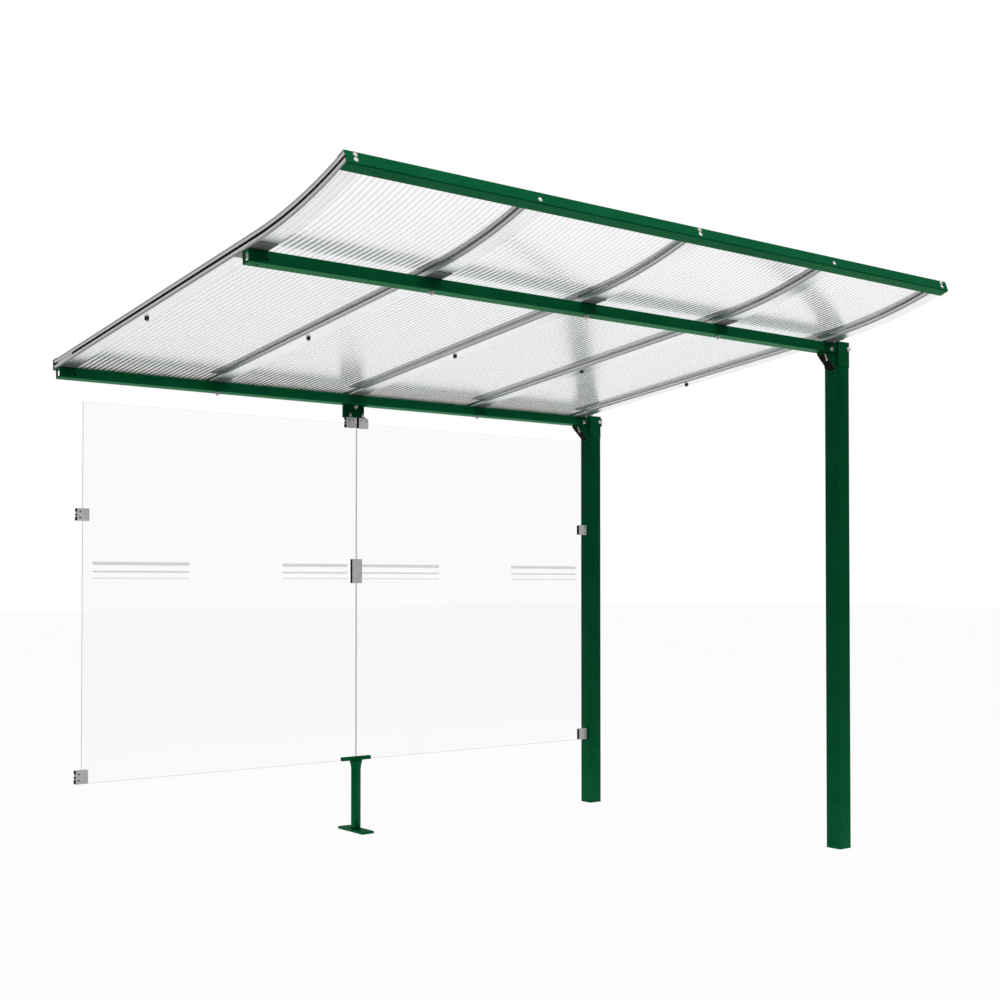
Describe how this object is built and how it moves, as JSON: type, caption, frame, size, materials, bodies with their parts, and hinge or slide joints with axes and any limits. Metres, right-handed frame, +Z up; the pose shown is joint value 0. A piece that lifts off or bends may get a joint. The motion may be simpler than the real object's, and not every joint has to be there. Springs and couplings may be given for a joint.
{
  "type": "bicycle shelter bay",
  "caption": "Open bay of a bicycle shelter: square posts at one end, channel beams, grooved ribs with fluted roof sheets curving up at the front, and a clamped glass screen.",
  "frame": {"origin": "middle of the front post's foot, at ground level", "axes": "+X along the bay, from its open end to its posts; +Y from the front post to the rear post; +Z up"},
  "size_m": [3.118, 2.4993, 2.5215],
  "materials": {
    "green_paint": "semi-gloss powder coat",
    "rib_alloy": "mill, satin",
    "saddle_alloy": "satin",
    "roof_polycarbonate": "clear fluted polycarbonate",
    "glass": "clear safety glass",
    "black_rubber": "matt",
    "grey_rubber": "matt",
    "clamp_alloy": "satin"
  },
  "bodies": {
    "root": {"front_post": "green_paint", "rear_post": "green_paint", "front_post_head": "green_paint", "rear_post_head": "green_paint", "rear_post_lug": "green_paint", "front_beam": "green_paint", "rear_beam": "green_paint", "front_gusset": "green_paint", "rear_gusset": "green_paint", "front_saddles": "saddle_alloy", "rear_saddles": "saddle_alloy", "rib_1": "rib_alloy", "rib_2": "rib_alloy", "rib_3": "rib_alloy", "rib_4": "rib_alloy", "rib_5": "rib_alloy", "roof_sheet_1": "roof_polycarbonate", "roof_sheet_2": "roof_polycarbonate", "roof_sheet_3": "roof_polycarbonate", "roof_sheet_4": "roof_polycarbonate", "main_rib_seals": "black_rubber", "middle_rib_seals": "grey_rubber", "end_rib_covers": "black_rubber", "front_edge_channel": "green_paint", "rear_edge_channel": "green_paint", "glass_left": "glass", "glass_right": "glass", "glass_hanger": "green_paint", "top_clamp_left": "clamp_alloy", "top_clamp_right": "clamp_alloy", "joint_plates": "clamp_alloy", "left_clamp_upper": "clamp_alloy", "left_clamp_lower": "clamp_alloy", "right_clamp_upper": "clamp_alloy", "right_clamp_lower": "clamp_alloy", "pedestal_base": "green_paint", "pedestal_column": "green_paint", "pedestal_shoe": "green_paint"}
  },
  "joints": []
}
